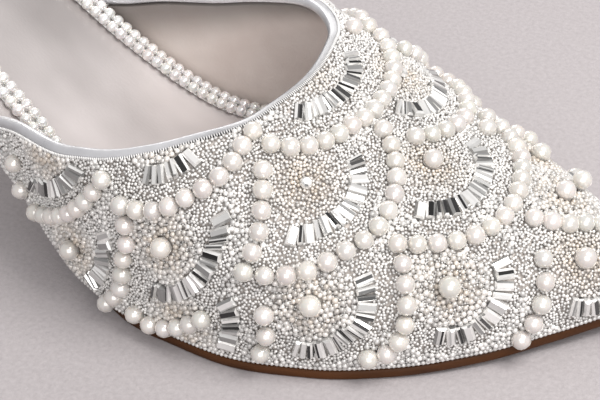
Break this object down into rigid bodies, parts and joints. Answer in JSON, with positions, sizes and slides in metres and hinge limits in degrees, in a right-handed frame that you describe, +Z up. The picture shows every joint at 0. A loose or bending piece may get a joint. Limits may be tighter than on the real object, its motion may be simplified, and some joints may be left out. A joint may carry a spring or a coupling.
{
  "type": "heeled slip-on shoe",
  "caption": "Backless pointed mule with a beaded closed vamp, silver collar binding, pearl-edged insole, thin leather sole and a slim block heel.",
  "frame": {"origin": "on the floor under the ball of the foot, at the ball line, on the flat tread of the sole", "axes": "+X from heel to toe, +Y to the wearer's left (the inner side of this right shoe), +Z up from the floor"},
  "size_m": [0.2413, 0.0837, 0.0858],
  "materials": {
    "sole_leather": "waxed tan leather edge",
    "insole_leather": "silvery satin leather",
    "beaded_cloth": "dense silver seed beads on cloth",
    "silver_binding": "metallic silver leather piping",
    "pearl": "glossy cream pearl",
    "heel_cover": "silver metallic leather cover",
    "lift_rubber": "dark rubber"
  },
  "bodies": {
    "root": {"outsole": "sole_leather", "insole": "insole_leather", "upper": "beaded_cloth", "topline_binding": "silver_binding", "insole_pearl_trim": "pearl", "heel": "heel_cover", "heel_lift": "lift_rubber"}
  },
  "joints": []
}
